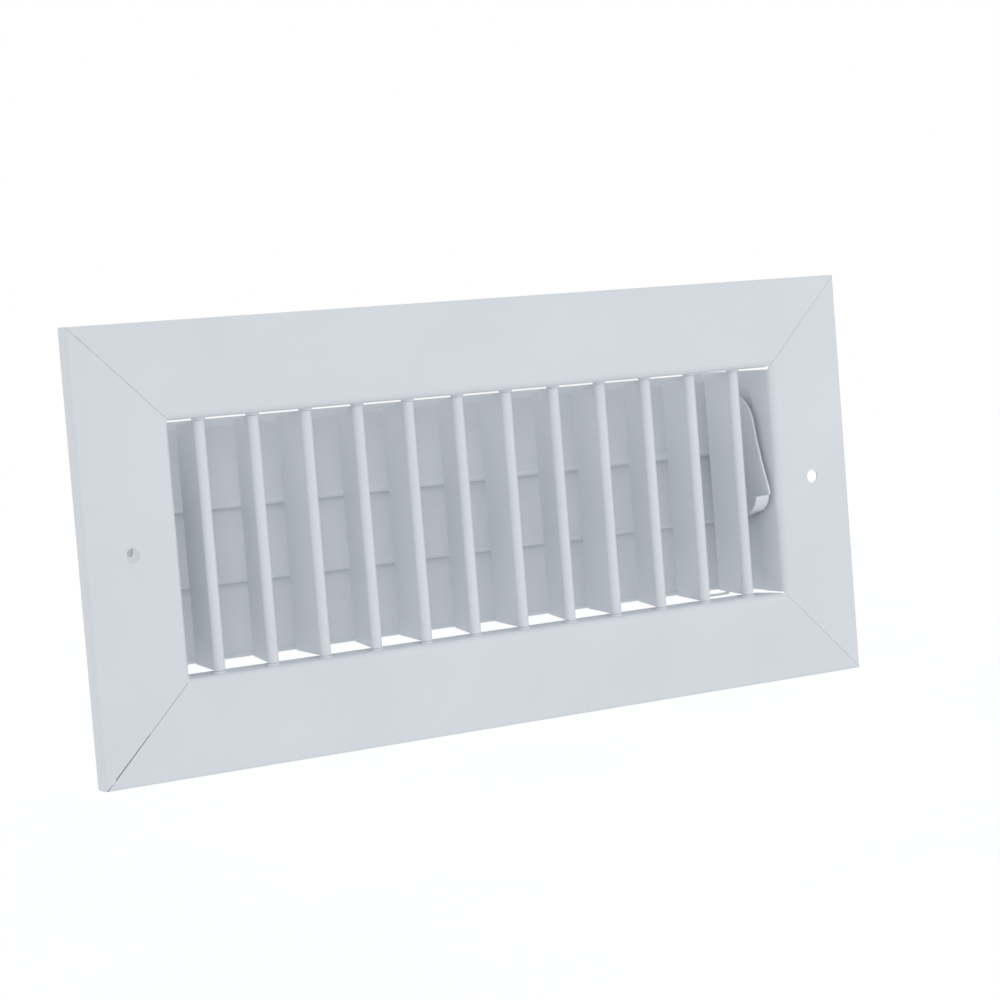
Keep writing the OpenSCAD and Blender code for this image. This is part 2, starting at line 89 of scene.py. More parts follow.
BLADES = [f"blade_{k:02d}" for k in range(1, 13)]
BLADE_X = np.array([JOINT[name + "_pivot"][0] for name in BLADES])
BLADE_SET = (-1.5, 4.5, -7, 4, -2, 6, -2, 7, -2, 7, 0.5, -1.5)
PIVOT_Y, BLADE_H = JOINT["blade_01_pivot"][1], high("blade_01")[2]
BEAD_R, WEB_T, TAIL_T, TAIL_Y, TAIL_SHORT, GROOVE_R = 1.9, 2.0, 0.9, 17.15, 0.9, 0.35
BEAD_END, GROOVE_START, GROOVE_END, BLADE_ROWS = 57, 244, 121, 9
PIN_R, PIN_GRIP, PIN_HEAD_R, PIN_HEAD_T, BORE_R = 0.8, 7.0, 1.5, 0.5, 0.85
POINT_IN, POINT_H, END_PLAY, HEAD_RIM = 0.25, 0.3, 0.1, 0.2
BUSH_R, FLANGE_R, FLANGE_T, BUSH_OUT = 1.6, 2.2, 0.7, 0.5

SHUTTERS = ("shutter_top", "shutter_middle", "shutter_bottom")
SHUTTER_Y = JOINT["shutter_top_pivot"][1]
SHUTTER_Z = np.array([JOINT[name + "_pivot"][2] for name in SHUTTERS])
SHUTTER_W, SHUTTER_T, SHUTTER_SET, LEAN, HEM_R = 30.8, 0.6, 3.2, math.radians(6), 0.85
CREASE_W, CREASE_ANGLE, CREASE_R, KINK_R = 3.0, math.radians(20), 1.2, 0.6
HEM_START, HEM_END = 145, 430
EAR_LEFT_X, EAR_RIGHT_X = -low("shutter_top")[0], high("shutter_top")[0]
EAR_T, EAR_H, EAR_CORNER_R, EYE_R = 0.8, 18.0, 0.3, 3.0
END_T, END_FLANGE, END_BEND, END_CORNER_R, END_FRONT_R = 0.7, 6.0, 1.8, 8.0, 0.5
FLANGE_FADE, LEAST_TURN = 2.5, 1.9
FOOT_L, FOOT_W, FOOT_BEND, FOOT_OVERLAP, FOOT_THINNER = 10.0, 2.0, 0.9, 1.0, 0.02
END_X = high("damper_end_right")[0] - END_T
END_FRONT, END_REAR = low("damper_end_right")[1], high("damper_end_right")[1] - HAIR
FOOT_Z = low("damper_end_right")[2]
RIVET_R, RIVET_HEAD_R, RIVET_HEAD_T, UPSET_R, UPSET_RISE = 1.25, 2.5, 0.8, 2.0, 0.55
SPACER_R, LEVER_SPACER_R, SPACER_EDGE = 2.3, 3.5, 0.12
SIDE_GAP, RUNNING_FIT, CRANK_FIT = 0.1, 0.05, 0.15

LEVER_Y, LEVER_Z = JOINT["lever_pivot"][1:]
LEVER_T, LEVER_OUT, LEVER_R = 0.9, high("damper_lever")[0], 13.3
LEVER_CORNER, LEVER_CORNER_R, LEVER_HOLLOW = (-13.1, -23.4), 6.9, 0.6
LEVER_HEEL, HEEL_R, TAB_W = (4.4, -30.4), 4.0, 6.3
TAB_START, TAB_FLAT, TAB_BACK, TAB_BEND = 1.0, 6.0, 4.0, 1.5
TAB_RISE, TAB_OVERLAP, TAB_LEAST = 0.5, 0.4, 0.12
CRANK, CRANK_ANGLE = 8.0, math.radians(38)
CRANK_Y, CRANK_Z = CRANK * math.cos(CRANK_ANGLE), CRANK * math.sin(CRANK_ANGLE)
CRANK_PIN_R, CRANK_HEAD_R, CRANK_HEAD_T = 1.1, 1.8, 0.6
LINK_X, LINK_OUT, LINK_HALF = low("link_bar")[0], high("link_bar")[0], 2.3
EYE_FLAT, EYE_SLOPE, ARM_EYE, ELBOW_BACK, ELBOW_SPREAD = 2.4, 3.6, 4, 6.0, 1.2

# Steps round a full hole, turned piece or pin, points in a turned rim's bend and edge,
# along a shutter, up an end plate's rear and along the lever's two straight edges
ROUND_STEPS, PIN_STEPS, BEND_POINTS, EDGE_POINTS = 28, 20, 7, 4
SHUTTER_ROWS, REAR_POINTS, FRONT_POINTS, LOWER_POINTS = 13, 24, 14, 26
RIM_EDGE, RIM_FLAT, RIM_PAST_BEND = 0.22, 0.45, 0.1

# How far cut edges are softened, and the angles in degrees past which an edge is crisp
# and past which it is softened
SHEET_EDGE, KEY_EDGE, LINK_EDGE, CRISP, SOFTENED = 0.1, 0.15, 0.12, 32, 40


# ---------- meshes ----------


def new_piece(name, verts, faces, material, body, node, bevel=0.0):
    """A closed mesh from points in millimetres: doubles are merged, faces are turned
    outwards, and its sharpest edges are softened by bevel."""
    mesh = bpy.data.meshes.new(name)
    mesh.from_pydata((np.asarray(verts) * MM).tolist(), [], faces)
    work = bmesh.new()
    work.from_mesh(mesh)
    bmesh.ops.remove_doubles(work, verts=work.verts, dist=SAME_POINT)
    bmesh.ops.recalc_face_normals(work, faces=work.faces)
    work.to_mesh(mesh)
    work.free()
    mesh.shade_smooth()
    mesh.set_sharp_from_angle(angle=math.radians(CRISP))
    piece = bpy.data.objects.new(name, mesh)
    bpy.context.scene.collection.objects.link(piece)
    mesh.materials.append(material)
    if bevel:
        edge = piece.modifiers.new("worn_edge", "BEVEL")
        edge.width, edge.segments = bevel * MM, 2
        edge.limit_method, edge.angle_limit = "ANGLE", math.radians(SOFTENED)
        edge.harden_normals = True
    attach(piece, body)
    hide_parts(node)


def grid_faces(rows, cols, closed=False):
    """Quads of a grid of points stored row by row; a closed grid's last column joins
    its first."""
    i, j = np.meshgrid(np.arange(rows - 1), np.arange(cols - (not closed)), indexing="ij")
    k = (j + 1) % cols
    quads = np.stack([i * cols + j, i * cols + k, (i + 1) * cols + k, (i + 1) * cols + j], -1)
    return quads.reshape(-1, 4)


class Shape:
    """Points and faces gathered from several grids before they become one piece."""

    def __init__(self):
        self.points, self.faces, self.count = [], [], 0

    def add(self, points, faces):
        """Adds a grid whose faces count its own points from nothing."""
        points = np.asarray(points, float).reshape(-1, 3)
        self.points.append(points)
        self.faces += [[int(v) + self.count for v in face] for face in faces]
        self.count += len(points)

    def all_points(self):
        """Every point gathered so far, in one array."""
        return np.concatenate(self.points)

    def piece(self, name, *args, **kwargs):
        """Makes the piece where its points stand; the rest is what new_piece takes."""
        new_piece(name, self.all_points(), self.faces, *args, **kwargs)


# ---------- outlines ----------


def arc(centre, radius, start, end, steps):
    """Points on a circle at equal angles from start to end, in degrees."""
    a = np.radians(np.linspace(start, end, steps + 1))
    return np.stack([centre[0] + radius * np.cos(a), centre[1] + radius * np.sin(a)], -1)


def bent_path(corners, radii, steps=10):
    """A line through the corners with each inner one rounded to its radius, and the
    unit normal on the left of each point: along a bend both turn at a steady rate."""
    corners = np.asarray(corners, float)
    way = np.diff(corners, axis=0)
    way /= np.linalg.norm(way, axis=1)[:, None]
    heading = np.unwrap(np.arctan2(way[:, 1], way[:, 0]))
    points, normals = [corners[:1]], [[-np.sin(heading[0]), np.cos(heading[0])]]
    for corner, radius, a, b in zip(corners[1:-1], radii, heading[:-1], heading[1:]):
        side = np.sign(b - a)
        turn = np.linspace(a, b, steps + 1)
        n = np.stack([-np.sin(turn), np.cos(turn)], -1)
        start = corner - radius * math.tan(abs(b - a) / 2) * np.array([np.cos(a), np.sin(a)])
        points.append(start + side * radius * (n[0] - n))
        normals += n.tolist()
    points.append(corners[-1:])
    normals.append([-np.sin(heading[-1]), np.cos(heading[-1])])
    return np.concatenate(points), np.array(normals)


def with_samples(path, normals, axis, values):
    """The same path with extra points where its straight run along axis takes values."""
    lengths = np.linalg.norm(np.diff(path, axis=0), axis=1)
    first = int(np.argmax([
        length if min(p[axis], q[axis]) <= min(values) and max(values) <= max(p[axis], q[axis])
        else 0 for length, p, q in zip(lengths, path[:-1], path[1:])]))
    p, q = path[first], path[first + 1]
    share = np.sort((np.asarray(values) - p[axis]) / (q[axis] - p[axis]))[:, None]
    path = np.concatenate([path[:first + 1], p + share * (q - p), path[first + 1:]])
    extra = np.repeat(normals[first:first + 1], len(values), 0)
    return path, np.concatenate([normals[:first + 1], extra, normals[first + 1:]]), first + 1


def hull_of_circles(circles, steps=14):
    """Outline round circles (centre, radius) taken anticlockwise, with its outward
    normals: each arc runs from where the last tangent touches to where the next leaves."""
    centres = np.array([c for c, r in circles], float)
    radii = np.array([r for c, r in circles], float)
    to_next = np.roll(centres, -1, 0) - centres
    reach = np.linalg.norm(to_next, axis=1)
    heading = np.arctan2(to_next[:, 1], to_next[:, 0])
    leave = heading - np.arccos((radii - np.roll(radii, -1)) / reach)
    outline, normals = [], []
    for k, (centre, radius) in enumerate(zip(centres, radii)):
        turn = (leave[k] - leave[k - 1]) % (2 * math.pi)
        a = leave[k - 1] + np.linspace(0, turn, steps + 1)
        n = np.stack([np.cos(a), np.sin(a)], -1)
        outline.append(centre + radius * n)
        normals.append(n)
    return np.concatenate(outline), np.concatenate(normals)


# ---------- sheet metal ----------


def sheet_strip(shape, faces_pair, blocks=()):
    """Two grids of points, the two sides of one bent sheet, closed along their four
    edges. Each block (rows, columns, centres, radius) is left open for a round hole:
    its border is drawn in to a circle on either side, and the circles are joined."""
    rows, cols = faces_pair[0].shape[:2]
    keep = np.ones((rows - 1, cols - 1), bool)
    for (r0, r1), (c0, c1), _, _ in blocks:
        keep[r0:r1, c0:c1] = False
    one = grid_faces(rows, cols)[keep.ravel()]
    faces = one.tolist() + (one[:, ::-1] + rows * cols).tolist()
    index = np.arange(rows * cols).reshape(rows, cols)
    for edge in (index[0], index[-1], index[:, 0], index[:, -1]):
        other = edge + rows * cols
        faces += np.stack([edge[:-1], edge[1:], other[1:], other[:-1]], -1).tolist()
    shape.add(np.concatenate([g.reshape(-1, 3) for g in faces_pair]), faces)
    for (r0, r1), (c0, c1), centres, radius in blocks:
        loop = np.concatenate([index[r0, c0:c1], index[r0:r1, c1], index[r1, c1:c0:-1],
                               index[r1:r0:-1, c0]])
        rings = []
        for side, grid in enumerate(faces_pair):
            border = grid.reshape(-1, 3)[loop]
            out = border - centres[side]
            rim = centres[side] + radius * out / np.linalg.norm(out, axis=1)[:, None]
            rings += [[border, (border + rim) / 2, rim], [rim, (border + rim) / 2, border]][side]
        shape.add(np.concatenate(rings), grid_faces(len(rings), len(loop), closed=True))


def bar_grids(path, normals, stations, low_end, high_end):
    """Both sides of a frame bar: the bent path carried along z. The first and last
    rows lie where low_end and high_end put them for each point of the section."""
    grids = []
    for side in (1, -1):
        section = path + side * normals * SHEET / 2
        z = np.repeat(np.asarray(stations, float)[:, None], len(section), 1)
        z = np.concatenate([[-low_end(section)], z, [high_end(section)]])
        xy = np.broadcast_to(section, (len(z), *section.shape))
        grids.append(np.concatenate([xy, z[:, :, None]], -1))
    return grids


def bar_section():
    """Middle line of a frame bar's sheet, x out from the opening, y back: lip, face, neck."""
    half = SHEET / 2
    corners = [(BORDER - half, LIP_D), (BORDER - half, half), (half, half), (half, NECK_D)]
    return bent_path(corners, (LIP_R - half, NECK_R - half), steps=12)


def mitre(half_len, opened=0.0):
    """How far a point of the section reaches along the bar: as far as half the opening
    plus its own distance outwards, less half the gap, which may widen outwards."""
    root = math.sqrt(2)

    def end(section):
        return half_len + section[:, 0] * (1 - opened * root / BORDER) - MITRE_GAP / root
    return end


def relieved(end):
    """The same end with the neck leg's rear corner cut back along a slant."""
    def cut(section):
        depth = section[:, 1] - NECK_R / 2
        slant = HALF_W - LEG_RELIEF * depth / (NECK_D - NECK_R / 2)
        leg = (section[:, 0] < NECK_R) & (depth > 0)
        return np.where(leg, np.minimum(end(section), slant), end(section))
    return cut


def cut_short(end, short):
    """The same end with the wall behind the neck's bend stopping short of the opening."""
    def cut(section):
        wall = (section[:, 0] < NECK_R) & (section[:, 1] > BEND_TO_MITRE)
        return np.where(wall, HALF_H - short, end(section))
    return cut


def block_marks(centre, half, steps):
    """Even marks across the square round a hole."""
    return centre + np.linspace(-half, half, steps + 1)


def side_bar(name, part, side):
    """Left or right bar: the section carried up z between its mitres, with a screw hole."""
    path, normals = bar_section()
    hole_x, half, steps = BORDER - SCREW_INSET, SCREW_SQUARE, SCREW_STEPS
    path, normals, col = with_samples(path, normals, 0, block_marks(hole_x, half, steps))
    runs = np.linspace(half, HALF_H - SIDE_ROWS_END, SIDE_ROWS)
    stations = np.concatenate([-runs[::-1], block_marks(0, half, steps)[1:-1], runs])
    grids = bar_grids(path, normals, stations, cut_short(mitre(HALF_H), SIDE_LIFT),
                      cut_short(mitre(HALF_H), SIDE_DROP))
    centres = [np.array([hole_x, grids[s][1, col, 1], 0]) for s in (0, 1)]
    block = ((len(runs), len(runs) + steps), (col, col + steps), centres, SCREW_D / 2)
    shape = Shape()
    sheet_strip(shape, grids, [block])
    verts = shape.all_points()
    verts = np.stack([side * (HALF_W + verts[:, 0]), verts[:, 1], verts[:, 2]], -1)
    new_piece(name, verts, shape.faces, POWDER, "frame", part, bevel=SHEET_EDGE)


def long_bar(name, part, side):
    """Top or bottom bar: the section carried along x, with a row of bush holes in its leg."""
    path, normals = bar_section()
    half, steps = BUSH_SQUARE, BUSH_STEPS
    path, normals, col = with_samples(path, normals, 1, block_marks(PIVOT_Y, half, steps))
    stations = np.concatenate([[LONG_ROWS_END - HALF_W],
                               *[block_marks(x, half, steps) for x in BLADE_X],
                               [HALF_W - LONG_ROWS_END]])
    opened = OPEN_MITRE_GAP if side < 0 else 0.0
    grids = bar_grids(path, normals, stations, relieved(mitre(HALF_W, opened=opened)),
                      relieved(mitre(HALF_W)))
    depth = [grids[s][1, col, 0] for s in (0, 1)]
    blocks = []
    # the mitre's row and the first even row come before the first bush
    for k, x in enumerate(BLADE_X):
        row = 2 + k * (steps + 1)
        centres = [np.array([depth[s], PIVOT_Y, x]) for s in (0, 1)]
        blocks.append(((row, row + steps), (col, col + steps), centres, BUSH_R))
    shape = Shape()
    sheet_strip(shape, grids, blocks)
    verts = shape.all_points()
    verts = np.stack([verts[:, 2], verts[:, 1], side * (HALF_H + verts[:, 0])], -1)
    new_piece(name, verts, shape.faces, POWDER, "frame", part, bevel=SHEET_EDGE)


def swept_sheet(shape, path, normals, thickness, stations, place):
    """A bent path (u, v) carried straight along w through the stations, given its
    thickness; place turns (u, v, w) into a point."""
    grids = []
    for side in (1, -1):
        section = path + side * normals * thickness / 2
        w = np.repeat(np.asarray(stations, float)[:, None], len(section), 1)
        grids.append(place(*np.broadcast_arrays(section[:, 0], section[:, 1], w)))
    sheet_strip(shape, grids)


def flat_rim(thickness):
    """Section (out, up) of a plain rim: out along one side of the sheet, round its two
    softened edges and back along the other side."""
    quarter = np.radians(np.linspace(0, 90, EDGE_POINTS))
    out = np.concatenate([np.linspace(-RIM_FLAT, -RIM_EDGE, BEND_POINTS + 1),
                          RIM_EDGE * np.sin(quarter) - RIM_EDGE])
    up = np.concatenate([np.zeros(BEND_POINTS + 1), RIM_EDGE - RIM_EDGE * np.cos(quarter)])
    return np.concatenate([np.stack([out, up], -1), np.stack([out, thickness - up], -1)[::-1]])


def turned_rim(thickness, radius, height):
    """Section (out, up) of a rim turned over to a height: round the outside of the bend,
    up and over the softened edge, and back down the inside."""
    bend = np.radians(np.linspace(0, 90, BEND_POINTS))
    quarter = np.radians(np.linspace(0, 90, EDGE_POINTS))
    inset, inner = radius + RIM_PAST_BEND, radius - thickness
    top = height - RIM_EDGE + RIM_EDGE * np.sin(quarter)
    outer = np.concatenate([[[-inset, 0]],
                            np.stack([radius * np.sin(bend) - radius,
                                      radius - radius * np.cos(bend)], -1),
                            np.stack([RIM_EDGE * np.cos(quarter) - RIM_EDGE, top], -1)])
    back = np.concatenate([[[-inset, thickness]],
                           np.stack([inner * np.sin(bend) - radius,
                                     radius - inner * np.cos(bend)], -1),
                           np.stack([RIM_EDGE - thickness - RIM_EDGE * np.cos(quarter), top], -1)])
    return np.concatenate([outer, back[::-1]])


def turned_plate(shape, outline, normals, turn, holes, x_face, inward, thickness, place,
                 radius=0.0):
    """A flat plate across x whose rim is turned over by turn millimetres where that is
    more than nothing. Each rim section (out, up) stands on the outline along its normal,
    and the middle is filled between."""
    flat = flat_rim(thickness)
    sections = np.array([turned_rim(thickness, radius, w) if w > 0 else flat for w in turn])
    out, up = sections[:, :, 0], sections[:, :, 1]
    spots = outline[:, None, :] + out[:, :, None] * normals[:, None, :]
    x = x_face + inward * up
    rim = np.concatenate([x[:, :, None], place(spots.reshape(-1, 2)).reshape(spots.shape)], -1)
    rim = rim.transpose(1, 0, 2)
    shape.add(rim, grid_faces(rim.shape[0], len(outline), closed=True))
    fill_flat(shape, spots[:, 0, :], holes, x_face, x_face + inward * thickness, place)


def fill_flat(shape, outline, holes, x0, x1, place, rim=False):
    """The two flat sides of a plate across x inside its outline, with the walls of its
    round holes and, where asked for, of its rim."""
    loops = [outline] + [arc(c, r, 360, 0, ROUND_STEPS)[:-1] for c, r in holes]
    flat = np.concatenate(loops)
    count = len(flat)
    triangles = tessellate_polygon([[Vector((*p, 0)) for p in loop] for loop in loops])
    sides = [np.concatenate([np.full((count, 1), x), place(flat)], -1) for x in (x0, x1)]
    faces = [list(t) for t in triangles] + [[v + count for v in t] for t in triangles]
    start = 0
    for loop in loops:
        ring = np.arange(start, start + len(loop))
        after = np.roll(ring, -1)
        if start or rim:
            faces += np.stack([ring, after, after + count, ring + count], -1).tolist()
        start += len(loop)
    shape.add(np.concatenate(sides), faces)


# ---------- turned and round pieces ----------


def turned_shape(shape, profile, axis, centre, steps=ROUND_STEPS):
    """A profile (radius, height) spun about an axis through centre. One that starts and
    ends on the axis closes to a point at both poles, and a ring's last row joins its first."""
    profile = np.asarray(profile, float)
    a = np.linspace(0, 2 * math.pi, steps, endpoint=False)
    r, h = profile[:, 0][:, None], profile[:, 1][:, None] + 0 * a
    ring = {"x": (h, r * np.cos(a), r * np.sin(a)), "z": (r * np.cos(a), r * np.sin(a), h)}[axis]
    points = np.stack(ring, -1) + np.asarray(centre, float)
    rows = len(profile)
    faces = grid_faces(rows, steps, closed=True).tolist()
    if profile[0, 0] > NEARLY:
        first, last = np.arange(steps), np.arange(steps) + (rows - 1) * steps
        faces += np.stack([last, np.roll(last, -1), np.roll(first, -1), first], -1).tolist()
    shape.add(points, faces)


def ring_profile(r_in, r_out, h0, h1, edge):
    """Section of a plain ring with its four edges softened."""
    return [(r_in, h0 + edge), (r_in + edge, h0), (r_out - edge, h0), (r_out, h0 + edge),
            (r_out, h1 - edge), (r_out - edge, h1), (r_in + edge, h1), (r_in, h1 - edge)]


def dome(r, h, rise, steps=6):
    """Points of a low dome from its rim radius r at height h to its top at h + rise."""
    a = np.radians(np.linspace(0, 90, steps + 1))
    return np.stack([r * np.cos(a), h + rise * np.sin(a)], -1)


# ---------- finishes ----------

WHITE = (1, 1, 1, 1)


def linear(hex_colour):
    """An sRGB hex colour as linear red, green, blue and one for alpha."""
    parts = [int(hex_colour[i:i + 2], 16) / 255 for i in (1, 3, 5)]
    return [c / 12.92 if c <= 0.04045 else ((c + 0.055) / 1.055) ** 2.4 for c in parts] + [1.0]


def node(tree, kind, settings=None, **inputs):
    """Adds a node. Settings are its own properties; inputs are values, or sockets to link,
    by socket name with spaces as underscores, or by number after an i."""
    made = tree.nodes.new("ShaderNode" + kind)
    for key, value in (settings or {}).items():
        setattr(made, key, value)
    for key, value in inputs.items():
        socket = made.inputs[int(key[1:]) if key[1:].isdigit() else key.replace("_", " ")]
        if isinstance(value, bpy.types.NodeSocket):
            tree.links.new(value, socket)
        else:
            socket.default_value = value
    return made


def new_finish(name, slot=""):
    """An empty node material that remembers which of the record's slots it dresses, if
    any, with the object's own coordinates in metres."""
    made = bpy.data.materials.new(name)
    made.use_nodes = True
    if slot:
        made["slot"] = slot
    tree = made.node_tree
    tree.nodes.clear()
    return made, tree, node(tree, "TexCoord").outputs["Object"]


def finish_off(tree, shader):
    """Links the shader to the material's surface."""
    tree.links.new(shader.outputs["BSDF"], node(tree, "OutputMaterial").inputs["Surface"])


def swell(size):
    """Scale of a noise whose swells are about size millimetres across."""
    return 1 / (size * MM)


def run_tones(ramp, dark, light, start=0.0, end=1.0):
    """Sets a ramp's two stops: the dark hex colour at start and the light one at end."""
    for stop, colour, place in zip(ramp.color_ramp.elements, (dark, light), (start, end)):
        stop.color, stop.position = linear(colour), place


def looked_at(tree):
    """One where the camera looks, straight, in a mirror or through glass, and nothing
    for the light that falls on the object."""
    path = node(tree, "LightPath")
    seen = path.outputs["Is Camera Ray"]
    for ray in ("Is Glossy Ray", "Is Transmission Ray"):
        seen = node(tree, "Math", {"operation": "MAXIMUM"}, i0=seen,
                    i1=path.outputs[ray]).outputs[0]
    return seen


def powder_coat():
    """Polyester powder sprayed on sheet steel and baked: a satin film that flows into a
    faint orange peel about 1.5 mm across, with a finer grain in it, and lies a little
    thicker in some places than in others, which shifts its white slightly."""
    film_swell, peel_swell, grain_swell = 45.5, 1.54, 0.385
    made, tree, at = new_finish("white_polyester_powder_coat", "powder_coat")
    film = node(tree, "TexNoise", Vector=at, Scale=swell(film_swell), Detail=2.0, Roughness=0.5)
    peel = node(tree, "TexNoise", Vector=at, Scale=swell(peel_swell), Detail=1.5, Roughness=0.45)
    grain = node(tree, "TexNoise", Vector=at, Scale=swell(grain_swell), Detail=1.0, Roughness=0.5)
    tone = node(tree, "ValToRGB", Fac=film.outputs["Fac"])
    run_tones(tone, "#E6EAEE", "#EAEEF2", 0.3, 0.7)
    sheen = node(tree, "MapRange", Value=peel.outputs["Fac"], From_Min=0.3, From_Max=0.7,
                 To_Min=0.31, To_Max=0.38)
    fine = node(tree, "Bump", Strength=0.2, Distance=0.004 * MM, Height=grain.outputs["Fac"])
    skin = node(tree, "Bump", Strength=0.3, Distance=0.03 * MM, Height=peel.outputs["Fac"],
                Normal=fine.outputs["Normal"])
    finish_off(tree, node(tree, "BsdfPrincipled", Base_Color=tone.outputs["Color"],
                          Roughness=sheen.outputs["Result"], Normal=skin.outputs["Normal"],
                          IOR=1.5))
    return made


def moulded_nylon():
    """Natural nylon 6, moulded as small bushes: milky white, with faint flow marks about
    2.5 mm long and the fine matt skin of a sparked mould, 0.25 mm in grain."""
    flow_swell, skin_swell = 2.5, 0.25
    made, tree, at = new_finish("natural_nylon_moulding", "nylon")
    flow = node(tree, "TexNoise", Vector=at, Scale=swell(flow_swell), Detail=2.0)
    skin = node(tree, "TexNoise", Vector=at, Scale=swell(skin_swell), Detail=2.0)
    tone = node(tree, "ValToRGB", Fac=flow.outputs["Fac"])
    run_tones(tone, "#E2E7EC", "#E9EDF1")
    gloss = node(tree, "MapRange", Value=skin.outputs["Fac"], To_Min=0.42, To_Max=0.58)
    bump = node(tree, "Bump", Strength=0.2, Distance=0.005 * MM, Height=skin.outputs["Fac"])
    finish_off(tree, node(tree, "BsdfPrincipled", Base_Color=tone.outputs["Color"],
                          Roughness=gloss.outputs["Result"], Normal=bump.outputs["Normal"],
                          IOR=1.53))
    return made


def zinc_plate():
    """Bright zinc on mild steel, tumbled in a barrel: a soft grey metal with a patchy
    passivated bloom and short scratches in every direction. Real scratches are finer, and
    these are drawn about half a millimetre long so that they show."""
    bloom_swell, scratch_swell = 6.25, 0.556
    made, tree, at = new_finish("barrel_zinc_plated_steel", "plated_steel")
    bloom = node(tree, "TexNoise", Vector=at, Scale=swell(bloom_swell), Detail=3.0, Roughness=0.6)
    scratch = node(tree, "TexNoise", Vector=at, Scale=swell(scratch_swell), Detail=4.0,
                   Roughness=0.7, Distortion=1.5)
    tone = node(tree, "ValToRGB", Fac=bloom.outputs["Fac"])
    run_tones(tone, "#A3A6A8", "#BFC2C4", 0.25, 0.75)
    gloss = node(tree, "MapRange", Value=scratch.outputs["Fac"], From_Min=0.3, From_Max=0.7,
                 To_Min=0.31, To_Max=0.46)
    bump = node(tree, "Bump", Strength=0.2, Distance=0.006 * MM, Height=scratch.outputs["Fac"])
    finish_off(tree, node(tree, "BsdfPrincipled", Base_Color=tone.outputs["Color"],
                          Roughness=gloss.outputs["Result"], Normal=bump.outputs["Normal"],
                          Metallic=1.0))
    return made


def studio_floor():
    """Matt white studio floor: it takes the shadow softly and is lifted to plain white
    where it is looked at or mirrored."""
    mottle_swell, floor_lift = 333, 0.34
    made, tree, at = new_finish("matt_white_studio_floor")
    lift = node(tree, "Math", {"operation": "MULTIPLY"}, i0=looked_at(tree), i1=floor_lift)
    mottle = node(tree, "TexNoise", Vector=at, Scale=swell(mottle_swell))
    tone = node(tree, "ValToRGB", Fac=mottle.outputs["Fac"])
    run_tones(tone, "#F0F1F2", "#F4F5F6")
    finish_off(tree, node(tree, "BsdfPrincipled", Base_Color=tone.outputs["Color"],
                          Roughness=0.9, Emission_Color=WHITE,
                          Emission_Strength=lift.outputs[0]))
    return made


POWDER, NYLON, ZINC = powder_coat(), moulded_nylon(), zinc_plate()


# ---------- blades and their pivots ----------


def blade_outline():
    """Right-hand half of a blade's section, from the front of its bead round the groove
    to the middle of its tail: the web tapers evenly and the tail is round."""
    end_y = TAIL_Y - TAIL_T / 2
    groove = (WEB_T / 2 + GROOVE_R / 2, BEAD_R)
    bead = arc((0, 0), BEAD_R, -90, BEAD_END, 18)
    hollow = arc(groove, GROOVE_R, GROOVE_START, GROOVE_END, 8)[1:]
    y = np.linspace(hollow[-1][1], end_y, 7)[1:]
    x = np.interp(y, (BEAD_R, end_y), (WEB_T / 2, TAIL_T / 2))
    tail = arc((0, end_y), TAIL_T / 2, 0, 90, 5)[1:]
    return np.concatenate([bead, hollow, np.stack([x, y], -1), tail])


def blade(name, x, angle):
    """The section carried up z, its rows reaching less far the nearer they are to the
    tail, and turned about its pivot. Both ends are closed straight across."""
    half = blade_outline()
    left = half[-2:0:-1] * (-1, 1)
    section = np.concatenate([half, left])
    back = np.clip((section[:, 1] - BEAD_R) / (TAIL_Y - BEAD_R), 0, 1)
    reach = BLADE_H - TAIL_SHORT * back
    z = np.linspace(-1, 1, BLADE_ROWS)[:, None] * reach
    turn = math.radians(-angle)
    px = x + section[:, 0] * math.cos(turn) - section[:, 1] * math.sin(turn)
    py = PIVOT_Y + section[:, 0] * math.sin(turn) + section[:, 1] * math.cos(turn)
    count, last = len(section), len(half) - 1
    faces = grid_faces(BLADE_ROWS, count, closed=True).tolist()
    k = np.arange(1, last - 1)
    caps = np.stack([k, k + 1, count - k - 1, count - k], -1)
    ends = np.array([[0, 1, count - 1], [last - 1, last, last + 1]])
    for start in (0, (BLADE_ROWS - 1) * count):
        faces += (caps + start).tolist() + (ends + start).tolist()
    shape = Shape()
    shape.add(np.stack(np.broadcast_arrays(px, py, z), -1), faces)
    shape.piece(name + "_strip", POWDER, name, name, bevel=SHEET_EDGE)


def bush_row(name, part, side):
    """Twelve flanged bushes: the profile of a ring with a flange spun round each pivot,
    its edges softened by these amounts."""
    lead, wide, rim, knuckle, back, edge = 0.1, 0.12, 0.2, 0.06, 0.04, 0.1
    end = SHEET + BUSH_OUT
    profile = np.array([(BORE_R, lead - FLANGE_T), (BORE_R + wide, -FLANGE_T),
                        (FLANGE_R - rim, -FLANGE_T), (FLANGE_R - knuckle, knuckle - FLANGE_T),
                        (FLANGE_R, rim - FLANGE_T), (FLANGE_R, -back), (FLANGE_R - back, 0),
                        (BUSH_R, 0), (BUSH_R, end - edge), (BUSH_R - edge, end),
                        (BORE_R + edge, end), (BORE_R, end - edge)])
    shape = Shape()
    for x in BLADE_X:
        turned_shape(shape, np.stack([profile[:, 0], side * (HALF_H + profile[:, 1])], -1),
                     "z", (x, PIVOT_Y, 0))
    shape.piece(name, NYLON, "frame", part)


